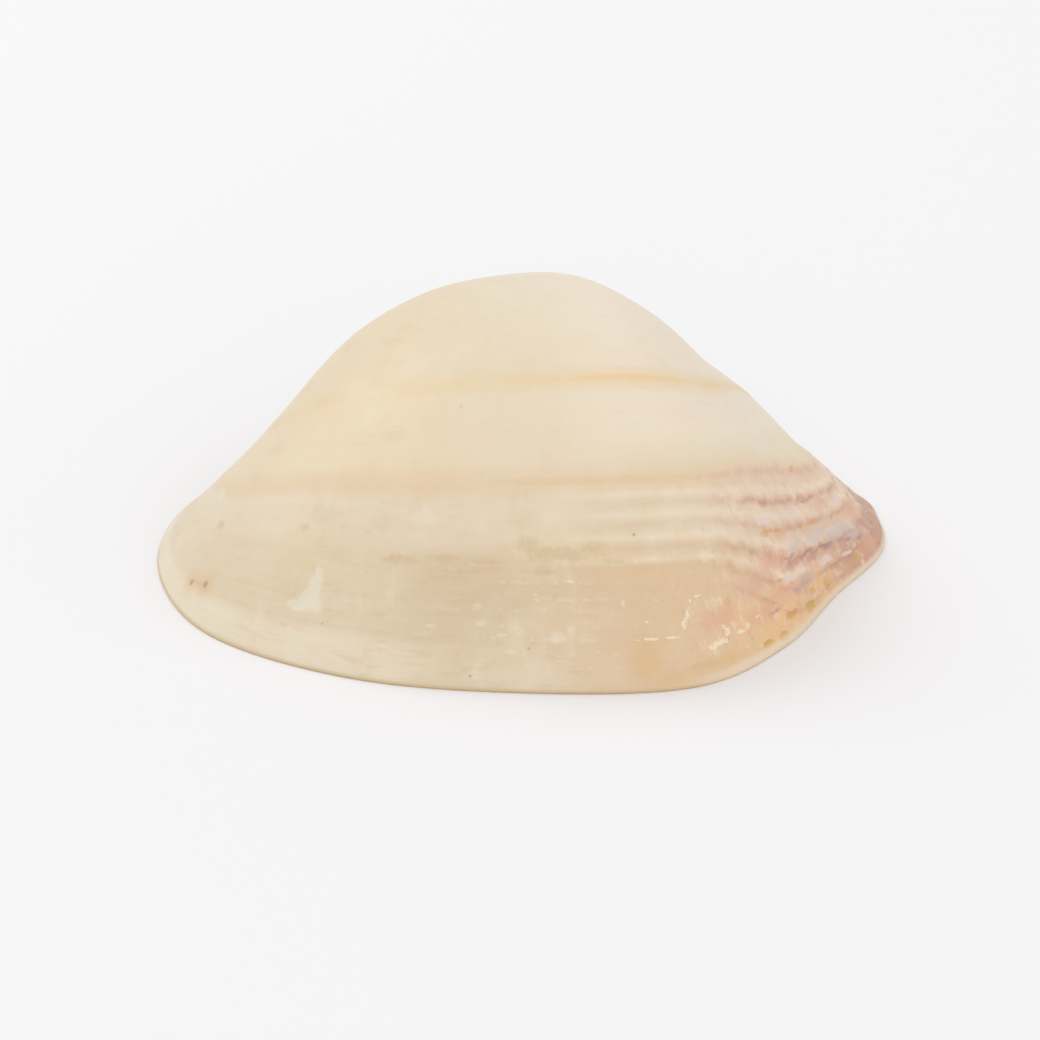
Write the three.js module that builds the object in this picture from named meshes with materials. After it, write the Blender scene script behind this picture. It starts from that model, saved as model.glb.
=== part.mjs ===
// One valve of a clam, lying with its opening down: the left valve, grown as a single piece.
//
// A clam adds shell only at its margin, so each earlier growth stage is the same outline, smaller and
// turned further about one axis beside the hinge. The outside is that family of outlines: today's
// margin lies flat on the ground, and the oldest and smallest stage is the beak. The inside is the
// same family, moved inwards by the thickness of the wall.
//
// Millimetres, +Z up. The posterior end points to +X and the lower (ventral) margin to -Y.
import * as THREE from 'three';

// Margin seen from above, from the hinge round by the posterior end. A column is a line of growth from
// the beak to the margin: columns is how many start between a point and the next one.
const margin = [
  { x: 0.0, y: -1.2, columns: 8 },
  { x: 5.3, y: -2.3, columns: 3 },
  { x: 11.6, y: -3.9, columns: 8 },
  { x: 18.3, y: -5.0, columns: 4 },
  { x: 20.0, y: -8.1, columns: 5 },
  { x: 20.2, y: -12.3, columns: 7 },
  { x: 18.0, y: -17.7, columns: 8 },
  { x: 15.6, y: -24.1, columns: 5 },
  { x: 11.2, y: -29.2, columns: 4 },
  { x: 2.8, y: -30.8, columns: 4 },
  { x: -7.2, y: -30.1, columns: 4 },
  { x: -15.7, y: -25.6, columns: 4 },
  { x: -19.6, y: -17.5, columns: 4 },
  { x: -18.8, y: -9.2, columns: 4 },
  { x: -13.7, y: -5.0, columns: 4 },
  { x: -5.3, y: -2.9, columns: 8 },
];
const openingMiddle = { x: 1.5, y: -15 };

// Places round the margin: the posterior slope in points of the list above, the hinge in x
const posteriorSlope = { from: 2.6, to: 6.8, fade: 1.4 };
const hingeLine = { from: -8.5, to: 5.5, fade: 2.5, lowestY: -9 };

// Growth: angles are radians turned back from today's margin.
const shrink = { first: 0.416, second: 0.302, third: 0.101 }; // loss of size per radian and its rise
const lengthPower = 1.11; // early stages are a little shorter for their height
const axisTurn = 0.169; // growth axis, turned from X towards +Y
const beakShift = -6.4; // the beak lies this far forward along the axis
const middleShift = 8.2; // the middle stages lie back from it
const beakAngle = 3.0;
const cavityAngle = 1.7;
const poleStep = 0.05; // from the last ring to the point that closes it

// Growth pauses, each a small ledge: the last seven, then the older one high on the shell.
const pauses = [0, 0.07, 0.115, 0.16, 0.22, 0.26, 0.31, 0.367, 0.612];
const ledgeRun = 0.018; // the ledge's drop, as growth angle
const ledgeCurve = 1.5; // the higher, the later a ledge rises to its edge
const ledgeFade = 0.35; // beyond the oldest pause the surface evens out over this angle
const ringSpacing = 0.06;
const umboRings = 15;
const umboCrowding = 1.15; // above 1, the rings crowd towards the oldest pause
const ledgeHeight = { plain: 0.06, posterior: 0.22 };
const ribHeight = 0.12; // radial ribs on the posterior slope, every other column
const ribEnd = 1.1; // growth angle where they have faded out

// Wall
const rimWidth = 1.1;
const umboWall = 1.9;
const plateWidth = 3.4; // hinge plate, at the margin
const plateDepth = 0.9; // growth angle over which the plate thins to the wall
const plateRecess = 1.0; // its face lies this far above the ground
const recessFade = 0.3; // growth angle over which the recess runs out inside
const toothHeight = 0.8;
const toothPlaces = [-6.3, -3.5, -0.4]; // x of the three cardinal teeth
const toothHalfWidth = 1.0;
const rimParts = [0.3, 0.65, 1]; // rings across the rim, as a share of its width
const cavityRings = [0.1, 0.24, 0.4, 0.58, 0.78, 1.0, 1.22, 1.42, 1.58, cavityAngle];

function smooth(from, to, value) {
  return THREE.MathUtils.smoothstep(value, from, to);
}

// 1 between from and to, falling to 0 over fade on each side
function plateau(value, { from, to, fade }) {
  return smooth(from - fade, from, value) * (1 - smooth(to, to + fade, value));
}

function sizeAt(angle) {
  const { first, second, third } = shrink;
  return Math.exp(-(first * angle + second * angle ** 2 / 2 + third * angle ** 3 / 3));
}

// The columns: places round the margin, with what the shell has there.
function makeColumns() {
  const points = margin.map((point) => new THREE.Vector3(point.x, point.y, 0));
  const outline = new THREE.CatmullRomCurve3(points, true, 'catmullrom', 0.5);
  const columns = [];
  margin.forEach((point, span) => {
    for (let step = 0; step < point.columns; step += 1) {
      const place = span + step / point.columns;
      const { x, y } = outline.getPoint(place / margin.length);
      const posterior = plateau(place, posteriorSlope);
      const hinge = y > hingeLine.lowestY ? plateau(x, hingeLine) : 0;
      const side = columns.length % 2 === 0 ? 1 : -1;
      const teeth = toothPlaces.map((middle) => 1 - Math.abs(x - middle) / toothHalfWidth);
      columns.push({
        x,
        y,
        ledge: THREE.MathUtils.lerp(ledgeHeight.plain, ledgeHeight.posterior, posterior) * (1 - hinge),
        rib: side * ribHeight * posterior,
        hinge,
        tooth: Math.max(0, ...teeth) * hinge,
      });
    }
  });
  return columns;
}

// A column's place at a growth angle, moved outwards from the opening's middle, or inwards if negative
function growPoint(column, angle, outwards) {
  const size = sizeAt(angle);
  const reach = Math.hypot(column.x - openingMiddle.x, column.y - openingMiddle.y);
  const scale = 1 + outwards / (size * reach);
  const x = openingMiddle.x + (column.x - openingMiddle.x) * scale;
  const y = openingMiddle.y + (column.y - openingMiddle.y) * scale;
  const along = x * Math.cos(axisTurn) + y * Math.sin(axisTurn);
  const below = x * Math.sin(axisTurn) - y * Math.cos(axisTurn);
  const shift = (beakShift + middleShift * size) * (1 - size);
  const a = size ** lengthPower * along + shift;
  const b = size * below * Math.cos(angle);
  return new THREE.Vector3(
    a * Math.cos(axisTurn) + b * Math.sin(axisTurn),
    a * Math.sin(axisTurn) - b * Math.cos(axisTurn),
    size * below * Math.sin(angle),
  );
}

// Growth stages of the outside, from the margin to the beak, with how far each stands up on its ledge
function outerStages() {
  const stages = [];
  for (let i = 0; i < pauses.length - 1; i += 1) {
    const start = i === 0 ? 0 : pauses[i] + ledgeRun;
    const end = pauses[i + 1];
    const steps = Math.max(2, Math.round((end - start) / ringSpacing));
    for (let step = 0; step <= steps; step += 1) {
      const part = step / steps;
      stages.push({ angle: start + (end - start) * part, ledge: (1 - part) ** ledgeCurve });
    }
  }
  const oldest = pauses[pauses.length - 1] + ledgeRun;
  for (let step = 0; step <= umboRings; step += 1) {
    const angle = oldest + (beakAngle - oldest) * (step / umboRings) ** umboCrowding;
    stages.push({ angle, ledge: Math.max(0, 1 - (angle - oldest) / ledgeFade) });
  }
  return stages;
}

function outerRing(columns, stage) {
  const ribShare = 1 - smooth(pauses[pauses.length - 2], ribEnd, stage.angle);
  return columns.map((column) => {
    const outwards = column.ledge * (stage.ledge - 0.5) + column.rib * ribShare;
    return growPoint(column, stage.angle, outwards);
  });
}

// Wall thickness inwards, in the plane of a growth stage
function wallAt(column, angle) {
  const age = smooth(0, cavityAngle, angle);
  const plain = rimWidth + (umboWall - rimWidth) * age;
  const plate = plateWidth + (umboWall - plateWidth) * smooth(0, plateDepth, angle);
  return plain + (plate - plain) * column.hinge;
}

// The face that the shell rests on, and the recessed hinge plate with its teeth
function rimRing(columns, part) {
  return columns.map((column) => {
    const outer = growPoint(column, 0, column.ledge / 2 + column.rib);
    const inner = growPoint(column, 0, -wallAt(column, 0));
    const point = outer.lerp(inner, part);
    point.z = column.hinge * plateRecess - column.tooth * toothHeight;
    return point;
  });
}

function innerRing(columns, angle) {
  return columns.map((column) => {
    const point = growPoint(column, angle, -wallAt(column, angle));
    point.z += column.hinge * plateRecess * Math.exp(-angle / recessFade);
    return point;
  });
}

// The point that closes a ring: the ring's middle, carried on to a slightly greater growth angle
function middleOf(ring, angle) {
  const middle = new THREE.Vector3();
  ring.forEach((point) => middle.add(point));
  middle.divideScalar(ring.length);
  const below = Math.hypot(middle.y, middle.z);
  return new THREE.Vector3(middle.x, -below * Math.cos(angle), below * Math.sin(angle));
}

// Closes rings of equal length into one skin, with a pole at each end
function skin(firstPole, rings, lastPole) {
  const count = rings[0].length;
  const vertices = [firstPole, ...rings.flat(), lastPole];
  const last = vertices.length - 1;
  const at = (ring, column) => 1 + ring * count + (column % count);
  const triangles = [];
  for (let column = 0; column < count; column += 1) {
    triangles.push(0, at(0, column + 1), at(0, column));
    for (let ring = 0; ring < rings.length - 1; ring += 1) {
      triangles.push(at(ring, column), at(ring, column + 1), at(ring + 1, column));
      triangles.push(at(ring, column + 1), at(ring + 1, column + 1), at(ring + 1, column));
    }
    triangles.push(last, at(rings.length - 1, column), at(rings.length - 1, column + 1));
  }
  const coordinates = vertices.flatMap((vertex) => vertex.toArray());
  const geometry = new THREE.BufferGeometry();
  geometry.setAttribute('position', new THREE.Float32BufferAttribute(coordinates, 3));
  geometry.setIndex(triangles);
  geometry.computeVertexNormals();
  return geometry;
}

function makeValve() {
  const columns = makeColumns();
  const outside = outerStages().reverse().map((stage) => outerRing(columns, stage));
  const rim = rimParts.map((part) => rimRing(columns, part));
  const inside = cavityRings.map((angle) => innerRing(columns, angle));
  const beak = middleOf(outside[0], beakAngle + poleStep);
  const cavityTop = middleOf(inside[inside.length - 1], cavityAngle + poleStep);
  const geometry = skin(beak, [...outside, ...rim, ...inside], cavityTop);

  // the origin goes to the middle of the box that the shell fills, on the ground
  geometry.computeBoundingBox();
  const middle = geometry.boundingBox.getCenter(new THREE.Vector3());
  geometry.translate(-middle.x, -middle.y, -geometry.boundingBox.min.z);

  const material = new THREE.MeshStandardMaterial({ color: 0xe9d9ba, roughness: 0.5, metalness: 0 });
  const valve = new THREE.Mesh(geometry, material);
  valve.name = 'clam_shell';
  return valve;
}

const shell = new THREE.Group();
shell.add(makeValve());
export default shell;
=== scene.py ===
# Clam shell: the outside, inside and finish of one valve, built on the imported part.
import math
import random
from itertools import permutations

import bpy
from mathutils import Matrix, Vector, noise


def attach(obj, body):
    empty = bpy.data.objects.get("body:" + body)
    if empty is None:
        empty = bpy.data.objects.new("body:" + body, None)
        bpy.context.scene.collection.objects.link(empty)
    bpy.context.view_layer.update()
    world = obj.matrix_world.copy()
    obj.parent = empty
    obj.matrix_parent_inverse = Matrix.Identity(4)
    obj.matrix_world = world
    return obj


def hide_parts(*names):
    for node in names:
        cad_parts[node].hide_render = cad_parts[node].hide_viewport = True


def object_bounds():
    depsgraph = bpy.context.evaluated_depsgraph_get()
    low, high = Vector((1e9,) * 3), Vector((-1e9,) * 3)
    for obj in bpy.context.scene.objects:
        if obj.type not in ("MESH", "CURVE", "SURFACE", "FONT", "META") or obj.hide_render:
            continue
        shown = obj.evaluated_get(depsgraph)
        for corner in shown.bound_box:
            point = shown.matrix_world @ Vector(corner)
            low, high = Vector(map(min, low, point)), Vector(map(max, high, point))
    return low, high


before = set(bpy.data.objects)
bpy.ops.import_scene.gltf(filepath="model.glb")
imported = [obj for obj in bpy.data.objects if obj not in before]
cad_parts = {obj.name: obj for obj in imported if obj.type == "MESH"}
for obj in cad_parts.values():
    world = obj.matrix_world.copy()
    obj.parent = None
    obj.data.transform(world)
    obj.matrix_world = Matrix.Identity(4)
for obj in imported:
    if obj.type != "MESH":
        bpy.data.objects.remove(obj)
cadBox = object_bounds()
mm = 0.001
print("frame loaded, box in mm:", [[round(c / mm, 2) for c in corner] for corner in cadBox])

# The growth of the shell, in millimetres and radians. Every growth stage is the margin outline, smaller and
# turned further about one axis beside the hinge. Stage 0 is today's margin, and the last one is the beak.
growth = {
    "margin": [
        (0.0, -1.2), (5.3, -2.3), (11.6, -3.9), (18.3, -5.0), (20.0, -8.1), (20.2, -12.3),
        (18.0, -17.7), (15.6, -24.1), (11.2, -29.2), (2.8, -30.8), (-7.2, -30.1), (-15.7, -25.6),
        (-19.6, -17.5), (-18.8, -9.2), (-13.7, -5.0), (-5.3, -2.9),
    ],  # from the hinge round by the posterior end
    "middle": (1.5, -15.0),
    "shrink": (0.416, 0.302, 0.101),
    "lengthPower": 1.11,
    "axisTurn": 0.169,
    "beakShift": -6.4,
    "middleShift": 8.2,
    "beakStage": 3.0,
    "cavityStage": 1.7,
}
points = len(growth["margin"])


def ramp(low, high, value):
    part = min(1.0, max(0.0, (value - low) / (high - low)))
    return part * part * (3.0 - 2.0 * part)


def band(value, low, high, fade):
    return ramp(low - fade, low, value) * (1.0 - ramp(high, high + fade, value))


def marginPoint(place):
    # place counts the outline's points, so 2.5 lies half way from the third to the fourth
    span = math.floor(place)
    u = place - span
    a, b, c, d = (growth["margin"][(span + k) % points] for k in (-1, 0, 1, 2))
    return [
        0.5 * (2 * b[i] + (c[i] - a[i]) * u + (2 * a[i] - 5 * b[i] + 4 * c[i] - d[i]) * u * u
               + (3 * b[i] - a[i] - 3 * c[i] + d[i]) * u ** 3)
        for i in (0, 1)
    ]


def sizeAt(stage):
    first, second, third = growth["shrink"]
    return math.exp(-(first * stage + second * stage ** 2 / 2 + third * stage ** 3 / 3))


def growPoint(x, y, stage, outwards=0.0):
    # a point of the outline at a growth stage, moved outwards from the opening's middle
    size = sizeAt(stage)
    midX, midY = growth["middle"]
    scale = 1.0 + outwards / (size * math.hypot(x - midX, y - midY))
    x = midX + (x - midX) * scale
    y = midY + (y - midY) * scale
    turn = growth["axisTurn"]
    along = x * math.cos(turn) + y * math.sin(turn)
    below = x * math.sin(turn) - y * math.cos(turn)
    a = size ** growth["lengthPower"] * along
    a += (growth["beakShift"] + growth["middleShift"] * size) * (1.0 - size)
    b = size * below * math.cos(stage)
    return Vector((
        a * math.cos(turn) + b * math.sin(turn),
        a * math.sin(turn) - b * math.cos(turn),
        size * below * math.sin(stage),
    ))


# Where the shell's own features lie, as places round the margin, x in millimetres or growth stages
marks = {
    "slopeFrom": 7.2,  # the sculptured posterior slope
    "slopeTo": 4.3,
    "slopeFade": 1.1,
    "tiltFrom": 5.4,  # where the growth lines swing round the posterior end
    "tiltTo": 4.0,
    "tiltFade": 1.8,
    "dipFrom": 11.8,  # and where they dip at the anterior end
    "dipTo": 13.0,
    "dipFade": 1.4,
    "dip": 0.045,
    "hingeFrom": -8.5,
    "hingeTo": 5.5,
    "hingeFade": 2.5,
    "hingeTaper": 5.0,  # behind the beak the plate runs out slowly
    "hingeLowest": -9.0,
    "longLines": (0.367, 0.606),
    "fanFrom": 6.6,  # forward of the slope the ridges crowd towards the younger long line
    "fanTo": 8.0,
    "fan": 0.65,
    "rows": [0.012, 0.045, 0.066, 0.09, 0.11, 0.136, 0.156, 0.185, 0.214, 0.25, 0.306, 0.34],
    "ridges": [-0.3, 0.045, 0.095, 0.160, 0.228, 0.292, 0.366, 0.44],
    # ridge lines: stain, with painted shade at the foot of each ledge
    "ridgeStainsAndShade": [  # ridge, strength
        (0.045, 0.45), (0.095, 0.6), (0.160, 1.0), (0.228, 0.60), (0.292, 0.7), (0.366, 0.25),
    ],
}

relief = {
    "ridgeHeight": 0.2,
    "ridgeCurve": 1.3,
    "ribHeight": 0.13,
    "ribPitch": 1.8,
    "ribWave": 0.005,  # how far the ribs bend the ridges, in growth stage
    "ridgeTilt": 0.045,
    "lineTilt": 0.125,
    "rowHeight": 0.03,
    "threadHeight": 0.014,
    "threadStep": (0.009, 0.024),
    "threadSpread": 1.6,  # how much further apart the threads are per stage
    "threadsTo": 1.3,
    "longLineHeight": 0.04,
    "longLineRise": 0.013,
    "longLineFall": 0.1,
    "unevenness": 0.05,
    "lipHeight": 0.42,
    "lipInset": 0.15,
    "slopeLipInset": 0.22,
    "innerLip": 0.28,
    "seed": 7,
}

# Low swells and hollows of the outside: place, stage, spread of both, height
swells = [
    (4.40, 0.46, 1.40, 0.32, -1.10),
    (3.70, 0.16, 0.70, 0.14, -0.30),
    (11.80, 0.60, 0.90, 0.30, -0.30),
    (6.90, 0.95, 0.70, 0.22, 0.16),
]

# Stains, wear and deposits: place, stage, half length along the margin, half width across (millimetres)
patches = {
    "orange": [
        (5.81, 0.344, 0.55, 0.34), (6.34, 0.272, 0.35, 0.16), (6.90, 0.225, 0.80, 0.18),
        (6.70, 0.219, 0.40, 0.14), (6.18, 0.197, 0.45, 0.20), (5.93, 0.190, 0.55, 0.16),
        (6.12, 0.048, 0.35, 0.42), (6.81, 0.052, 0.80, 0.22), (7.60, 0.214, 0.80, 0.12),
        (6.40, 0.060, 0.40, 0.20),
    ],
    "ochre": [
        (6.49, 0.036, 0.60, 0.34), (7.00, 0.024, 0.45, 0.26), (7.22, 0.028, 0.45, 0.20),
        (5.47, 0.050, 0.35, 0.16),
    ],
    "mauve": [
        (6.78, 0.285, 0.70, 0.24), (5.85, 0.250, 1.60, 0.20), (6.52, 0.140, 1.80, 0.30),
        (6.20, 0.120, 1.00, 0.26), (5.27, 0.014, 0.60, 0.22), (7.25, 0.284, 0.80, 0.12),
        (6.95, 0.126, 0.70, 0.10), (7.05, 0.074, 0.60, 0.12),
    ],
    "grey": [
        (5.55, 0.138, 1.90, 0.60), (6.01, 0.158, 1.60, 0.48), (5.27, 0.108, 1.10, 0.46),
        (6.45, 0.172, 1.30, 0.34),
    ],
    "bruise": [(6.51, 0.092, 1.30, 0.56), (6.62, 0.086, 0.60, 0.40)],
    "violet": [
        (5.82, 0.118, 0.65, 0.18), (5.44, 0.101, 0.42, 0.16), (6.26, 0.139, 1.30, 0.13),
        (6.62, 0.158, 0.70, 0.10), (5.95, 0.128, 0.70, 0.10), (5.25, 0.088, 0.50, 0.14),
    ],
    "lilac": [
        (5.99, 0.094, 0.70, 0.26), (5.58, 0.074, 0.60, 0.24), (5.21, 0.210, 1.00, 0.26),
        (5.85, 0.292, 1.00, 0.26), (5.38, 0.236, 0.60, 0.20), (6.75, 0.118, 0.80, 0.18),
        (6.15, 0.152, 0.80, 0.14), (6.35, 0.240, 1.40, 0.22), (6.95, 0.254, 1.10, 0.22),
    ],
    "salmon": [
        (6.88, 0.102, 1.70, 0.60), (6.95, 0.166, 2.20, 0.60), (7.23, 0.084, 1.60, 0.55),
        (6.60, 0.212, 0.70, 0.20), (7.27, 0.142, 1.50, 0.60), (7.75, 0.106, 1.30, 0.70),
        (5.15, 0.060, 1.40, 0.80), (4.90, 0.160, 1.60, 1.00), (6.25, 0.104, 1.20, 0.40),
        (5.60, 0.220, 1.60, 0.50),
    ],
    "tan": [(8.36, 0.052, 1.10, 1.30), (8.15, 0.020, 1.30, 0.45), (7.76, 0.034, 1.60, 0.50)],
    "stain": [
        (10.19, 0.788, 0.80, 0.70), (10.25, 0.712, 0.70, 0.60), (10.11, 0.852, 0.80, 0.50),
        (10.00, 0.478, 1.00, 0.40), (11.95, 0.374, 1.20, 0.90), (11.39, 0.552, 0.90, 1.00),
        (11.17, 0.680, 0.80, 1.00), (10.80, 0.854, 0.80, 1.40), (10.56, 1.116, 0.80, 1.80),
        (11.15, 0.372, 0.90, 0.55), (11.05, 0.460, 1.00, 0.50), (10.75, 0.600, 0.90, 0.45),
    ],
    "smudge": [
        (9.06, 0.252, 0.70, 0.55), (8.95, 0.236, 1.20, 0.36), (8.66, 0.246, 0.80, 0.34),
        (8.78, 0.232, 1.10, 0.30), (9.79, 0.222, 1.30, 0.30), (9.56, 0.226, 1.00, 0.22),
        (9.30, 0.222, 0.80, 0.20), (11.30, 0.230, 0.60, 0.40), (9.45, 0.200, 1.40, 0.14),
        (9.00, 0.204, 1.20, 0.14), (8.50, 0.222, 0.90, 0.18), (7.93, 0.036, 1.10, 0.12),
        (7.80, 0.020, 1.20, 0.10), (11.22, 0.086, 0.70, 0.30), (10.50, 0.270, 0.40, 0.30),
    ],
    "chalk": [
        (7.91, 0.150, 0.30, 0.10), (7.99, 0.143, 0.14, 0.16), (8.03, 0.124, 0.09, 0.34),
        (8.06, 0.106, 0.09, 0.22), (7.78, 0.066, 0.62, 0.17), (7.86, 0.061, 0.40, 0.12),
        (7.68, 0.080, 0.16, 0.30), (7.72, 0.090, 0.30, 0.08), (7.52, 0.071, 0.42, 0.09),
        (7.44, 0.077, 0.20, 0.12), (7.30, 0.083, 0.30, 0.06), (7.36, 0.100, 0.24, 0.05),
        (8.16, 0.088, 0.34, 0.05), (8.30, 0.087, 0.28, 0.06), (8.42, 0.089, 0.22, 0.05),
        (8.32, 0.117, 0.26, 0.05), (8.49, 0.115, 0.16, 0.06), (8.47, 0.148, 0.10, 0.10),
        (8.26, 0.152, 0.16, 0.05), (8.20, 0.072, 0.20, 0.05), (9.45, 0.140, 0.22, 0.07),
        (9.36, 0.144, 0.12, 0.09), (8.95, 0.140, 0.16, 0.05), (8.80, 0.186, 0.18, 0.06),
        (9.35, 0.024, 0.30, 0.04), (8.68, 0.018, 0.20, 0.06), (8.24, 0.058, 0.22, 0.05),
        (8.62, 0.094, 0.20, 0.04), (7.55, 0.334, 0.36, 0.07), (7.45, 0.326, 0.22, 0.05),
        (10.02, 0.270, 0.26, 0.07), (10.06, 0.262, 0.14, 0.08), (9.20, 0.112, 0.16, 0.04),
        (8.88, 0.064, 0.18, 0.04), (9.02, 0.166, 0.20, 0.04), (8.64, 0.070, 0.18, 0.04),
    ],
    "pale": [
        (8.88, 0.094, 0.45, 0.30), (8.80, 0.106, 0.22, 0.30), (9.70, 0.300, 0.90, 0.50),
        (11.60, 0.300, 0.80, 0.50), (9.35, 0.144, 0.26, 0.14), (9.32, 0.114, 0.26, 0.14),
        (9.14, 0.068, 0.36, 0.14), (9.60, 0.106, 0.30, 0.12), (9.20, 0.096, 0.30, 0.10),
        (8.55, 0.130, 0.40, 0.10), (8.95, 0.160, 0.36, 0.10), (8.20, 0.470, 1.20, 0.80),
        (7.40, 0.450, 1.20, 0.60), (10.9, 0.052, 1.60, 0.50),
    ],
    "chip": [
        (10.39, 0.114, 0.74, 0.36), (10.36, 0.126, 0.70, 0.40), (10.33, 0.140, 0.58, 0.44),
        (10.32, 0.156, 0.42, 0.48), (10.315, 0.176, 0.28, 0.46), (10.30, 0.120, 0.46, 0.44),
    ],
}
depths = {"orange": 0.10, "ochre": 0.12, "chip": 0.11, "chalk": -0.03}  # how deep each kind is worn in
patchReach = {"place": 1.2, "stage": 0.25, "lastStage": 1.2}  # past these no patch counts
specks = [  # place, stage, radius, strength of the speck and of its halo
    (8.36, 0.266, 0.10, 0.5, 0.0), (9.53, 0.544, 0.10, 0.25, 0.0), (10.22, 0.088, 0.07, 0.4, 0.0),
    (11.32, 0.078, 0.19, 0.55, 0.6), (11.16, 0.094, 0.21, 0.6, 0.6), (9.05, 0.074, 0.08, 0.5, 0.1),
    (9.36, 0.026, 0.09, 0.5, 0.0), (10.05, 0.270, 0.06, 0.35, 0.0), (9.40, 0.640, 0.05, 0.4, 0.0),
]
stageLength = 30.0  # millimetres that one stage unit counts for where patches and grain are measured
patchCentres = {place: marginPoint(place) for kind in patches.values() for place, *_ in kind}


def spotAt(place, stage):
    return growPoint(*marginPoint(place), stage)


def slopeShare(place):
    return band(place, marks["slopeTo"], marks["slopeFrom"], marks["slopeFade"])


def hingeShare(x, y):
    if y < marks["hingeLowest"]:
        return 0.0
    front = ramp(marks["hingeFrom"] - marks["hingeFade"], marks["hingeFrom"], x)
    return front * (1.0 - ramp(marks["hingeTo"], marks["hingeTo"] + marks["hingeTaper"], x))


def sawtooth(value, pauses, power):
    # a ledge at each pause: a short rise just above it, then a slow fall to the next one
    for lower, upper in zip(pauses, pauses[1:]):
        if lower <= value < upper:
            part = (value - lower) / (upper - lower)
            rise = ramp(0.0, 0.16, part) if lower > 0 else 1.0
            return rise * (1.0 - part) ** power
    return 0.0


def makeThreads():
    dice = random.Random(relief["seed"])
    pauses = [0.0]
    while pauses[-1] < relief["threadsTo"]:
        step = dice.uniform(*relief["threadStep"]) * (1.0 + relief["threadSpread"] * pauses[-1])
        pauses.append(pauses[-1] + step)
    return pauses


threads = makeThreads()
olderRows = [marks["longLines"][0], 0.44, 0.52, marks["longLines"][1], 0.70, 0.82, 0.98, 1.2]
rows = marks["rows"] + olderRows


def toneAt(place, stage, mile):
    # the stage that growth lines follow: they swing round the posterior end and wave across its ribs
    swing = band(place, marks["tiltTo"], marks["tiltFrom"], marks["tiltFade"]) * ramp(0.0, 0.12, stage)
    tone = stage + swing * (relief["ridgeTilt"] - relief["lineTilt"] * ramp(0.28, 0.61, stage))
    dip = band(place, marks["dipFrom"], marks["dipTo"], marks["dipFade"]) * ramp(0.1, 0.3, stage)
    tone += marks["dip"] * dip
    wave = relief["ribWave"] * (math.sin(math.pi * ribTurns(mile)) ** 2 - 0.5)
    rough = 0.005 * noise.noise(Vector((mile * 0.8, stage * 30.0, 3.0)))
    share = slopeShare(place) * ramp(0.0, 0.05, stage) * (1.0 - ramp(0.3, 0.4, stage))
    return tone + (wave + rough) * share


def ridgeAt(place, tone):
    # the stage that the posterior ridges follow: forward of the slope they fan in to the long line
    line = marks["longLines"][0]
    spread = marks["fan"] * ramp(marks["fanFrom"], marks["fanTo"], place)
    return tone - spread * max(0.0, line - tone)


def ribTurns(mile):
    return mile / relief["ribPitch"] + 0.45 * noise.noise(Vector((mile * 0.4, 5.0, 1.0)))


def swellAt(place, stage):
    # the low swells and hollows, which the inside follows so that the wall keeps its thickness
    swell = 0.0
    for swellPlace, swellStage, spreadPlace, spreadStage, rise in swells:
        off = ((place - swellPlace) / spreadPlace) ** 2 + ((stage - swellStage) / spreadStage) ** 2
        swell += rise * math.exp(-off)
    return swell * ramp(0.0, 0.08, stage)


def outsideHeight(column, stage, tone, point):
    # how far the outside stands out from the even surface, in millimetres
    place, x, y = column["place"], column["x"], column["y"]
    height = relief["unevenness"] * noise.noise(point * 0.16) * ramp(0.0, 0.15, stage)
    height += swellAt(place, stage)
    strong = 1.0 - 0.75 * ramp(0.2, 0.6, stage)
    drift = tone + 0.004 * noise.noise(Vector((x * 0.12, y * 0.12, 8.0)))
    patch = 0.7 + 0.6 * noise.noise(Vector((x * 0.2, y * 0.2, stage * 9.0)))
    height += relief["threadHeight"] * sawtooth(drift, threads, 1.0) * patch * strong
    height += relief["rowHeight"] * sawtooth(drift, rows, 1.0) * patch * strong
    for line in marks["longLines"]:
        rise = ramp(line - relief["longLineRise"], line + relief["longLineRise"], tone)
        fall = ramp(line, line + relief["longLineFall"], tone)
        height += relief["longLineHeight"] * rise * (1.0 - fall)
    share = slopeShare(place) * (1.0 - ramp(0.34, 0.46, tone)) * ramp(0.012, 0.06, stage)
    if share > 0.0:
        step = sawtooth(ridgeAt(place, tone), marks["ridges"], relief["ridgeCurve"])
        rib = -0.5 * math.cos(2 * math.pi * ribTurns(column["mile"]))
        bead = 0.8 + 0.5 * noise.noise(Vector((column["mile"] * 0.9, tone * 24.0, 0.0)))
        height += share * relief["ridgeHeight"] * (step - 0.5)
        height += share * relief["ribHeight"] * rib * (0.3 + step) * bead
    return height * (1.0 - hingeShare(x, y))


valve = {
    "columns": 510,
    "marginSteps": 6400,  # steps that the margin's length is measured in
    "slopeCrowding": 1.3,  # how much closer the columns stand on the slope and on the hinge
    "hingeCrowding": 0.9,
    "outerRings": 128,
    "rimRings": 14,
    "innerRings": 50,
    "evenRings": 0.4,  # growth stages spread evenly over the outside's rings, the rest crowd to the margin
    "ringCrowding": 3.5,
    "innerCrowding": 1.55,
    "rimWidth": 1.1,
    "umboWall": 1.9,
    "plateWidth": 3.4,
    "plateDepth": 0.9,
    "plateRecess": 1.0,
    "recessFade": 0.3,
    "toothHeight": 0.85,
    "socketDepth": 0.3,
    "teeth": [(-5.6, -0.30, 0.55), (-3.4, -0.02, 0.75), (-0.9, 0.55, 0.55)],  # x, lean, half width
    "scars": [(12.9, 0.42, 2.3, 2.9), (4.3, 0.50, 2.2, 2.6)],  # place, stage, half length, half width
    "scarDepth": 0.09,
    "pallialDepth": 0.045,
    "pallialInset": 3.7,
    "sinusReach": 0.13,
    "notchPitch": 0.52,
    "notchDepth": 0.07,
    "clearance": 0.9995,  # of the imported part's box
}


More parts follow.
